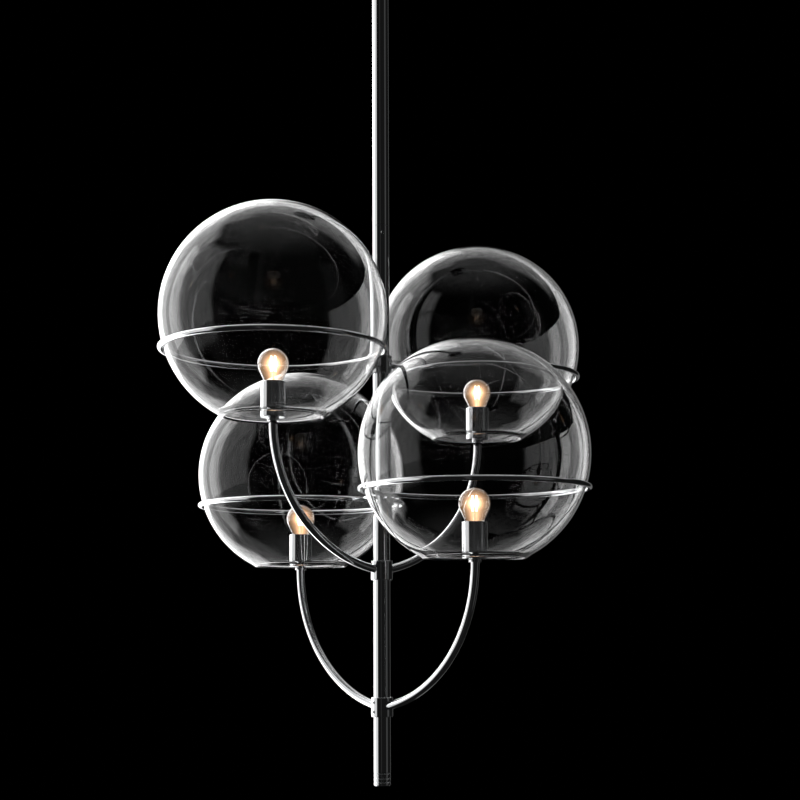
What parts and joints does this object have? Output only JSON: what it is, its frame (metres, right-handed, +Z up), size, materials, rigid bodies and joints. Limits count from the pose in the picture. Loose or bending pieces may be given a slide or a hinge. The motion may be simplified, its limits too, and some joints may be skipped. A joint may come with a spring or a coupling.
{
  "type": "pendant light",
  "caption": "Chrome pendant light: clear glass globes, open below, rest in rings over curved arms in tiers round a rigid hanging tube, with golf-ball bulbs in cups.",
  "frame": {"origin": "centre of the ceiling bracket's top face, where it meets the ceiling", "axes": "+Z up, along the hanging tube, out of the bracket towards the ceiling; -Y towards the viewer of the picture; the arms lie on the diagonals between X and Y"},
  "size_m": [0.6192, 0.6192, 1.2867],
  "materials": {
    "chrome": "polished",
    "steel": "plain zinc-plated steel",
    "clear_glass": "clear blown glass, gloss",
    "bulb_glass": "clear thin glass, gloss",
    "brass": "nickel-plated brass cap",
    "holder_plastic": "matt moulded",
    "nylon": "matt moulded",
    "filament": "glowing"
  },
  "bodies": {
    "hanging_tube": {"ceiling_bracket": "steel", "bracket_screw_1": "steel", "bracket_screw_2": "steel", "stem_hanger": "steel", "hanger_pin": "steel", "terminal_block": "nylon", "upper_stem_tube": "chrome", "stem_joiner": "steel", "stem_joint_screw": "chrome", "lower_stem_tube": "chrome", "stem_end_piece": "chrome"},
    "canopy": {"ceiling_canopy": "chrome", "canopy_collar": "chrome", "canopy_collar_screw_1": "steel"},
    "upper_tier": {"upper_ring_collar": "chrome", "upper_ring_collar_screw_1": "steel", "upper_arm_collar": "chrome", "upper_arm_collar_screw_1": "steel", "upper_arm_collar_screw_2": "steel", "globe_ring_upper_front": "chrome", "globe_ring_upper_rear": "chrome", "arm_upper_front": "chrome", "arm_upper_rear": "chrome", "arm_nut_upper_front": "chrome", "arm_nut_upper_rear": "chrome", "lamp_cup_upper_front": "chrome", "lamp_cup_upper_rear": "chrome", "lampholder_upper_front": "holder_plastic", "lampholder_upper_rear": "holder_plastic"},
    "lower_tier": {"lower_ring_collar": "chrome", "lower_ring_collar_screw_1": "steel", "lower_arm_collar": "chrome", "lower_arm_collar_screw_1": "steel", "lower_arm_collar_screw_2": "steel", "globe_ring_lower_front": "chrome", "globe_ring_lower_rear": "chrome", "arm_lower_front": "chrome", "arm_lower_rear": "chrome", "arm_nut_lower_front": "chrome", "arm_nut_lower_rear": "chrome", "lamp_cup_lower_front": "chrome", "lamp_cup_lower_rear": "chrome", "lampholder_lower_front": "holder_plastic", "lampholder_lower_rear": "holder_plastic"},
    "globe_upper_front": {"glass_globe_upper_front": "clear_glass"},
    "globe_upper_rear": {"glass_globe_upper_rear": "clear_glass"},
    "globe_lower_front": {"glass_globe_lower_front": "clear_glass"},
    "globe_lower_rear": {"glass_globe_lower_rear": "clear_glass"},
    "bulb_upper_front": {"bulb_glass_upper_front": "bulb_glass", "bulb_cap_upper_front": "brass", "filament_mount_upper_front": "filament"},
    "bulb_upper_rear": {"bulb_glass_upper_rear": "bulb_glass", "bulb_cap_upper_rear": "brass", "filament_mount_upper_rear": "filament"},
    "bulb_lower_front": {"bulb_glass_lower_front": "bulb_glass", "bulb_cap_lower_front": "brass", "filament_mount_lower_front": "filament"},
    "bulb_lower_rear": {"bulb_glass_lower_rear": "bulb_glass", "bulb_cap_lower_rear": "brass", "filament_mount_lower_rear": "filament"}
  },
  "joints": [
    {"name": "canopy_slide", "type": "slide", "parent": "hanging_tube", "child": "canopy", "axis": [0, 0, -1], "range_m": [0, 0.15]},
    {"name": "upper_tier_swivel", "type": "hinge", "parent": "hanging_tube", "child": "upper_tier", "pos_m": [0, 0, -0.9662], "axis": [0, 0, 1], "range_deg": [-4, 4]},
    {"name": "lower_tier_swivel", "type": "hinge", "parent": "hanging_tube", "child": "lower_tier", "pos_m": [0, 0, -1.1707], "axis": [0, 0, 1], "range_deg": [-4, 4]},
    {"name": "upper_front_globe_lift", "type": "slide", "parent": "upper_tier", "child": "globe_upper_front", "axis": [0, 0, 1], "range_m": [0, 0.15]},
    {"name": "upper_rear_globe_lift", "type": "slide", "parent": "upper_tier", "child": "globe_upper_rear", "axis": [0, 0, 1], "range_m": [0, 0.15]},
    {"name": "lower_front_globe_lift", "type": "slide", "parent": "lower_tier", "child": "globe_lower_front", "axis": [0, 0, 1], "range_m": [0, 0.03]},
    {"name": "lower_rear_globe_lift", "type": "slide", "parent": "lower_tier", "child": "globe_lower_rear", "axis": [0, 0, 1], "range_m": [0, 0.03]},
    {"name": "upper_front_bulb_out", "type": "slide", "parent": "upper_tier", "child": "bulb_upper_front", "axis": [0, 0, 1], "range_m": [0, 0.022]},
    {"name": "upper_rear_bulb_out", "type": "slide", "parent": "upper_tier", "child": "bulb_upper_rear", "axis": [0, 0, 1], "range_m": [0, 0.022]},
    {"name": "lower_front_bulb_out", "type": "slide", "parent": "lower_tier", "child": "bulb_lower_front", "axis": [0, 0, 1], "range_m": [0, 0.022]},
    {"name": "lower_rear_bulb_out", "type": "slide", "parent": "lower_tier", "child": "bulb_lower_rear", "axis": [0, 0, 1], "range_m": [0, 0.022]}
  ]
}
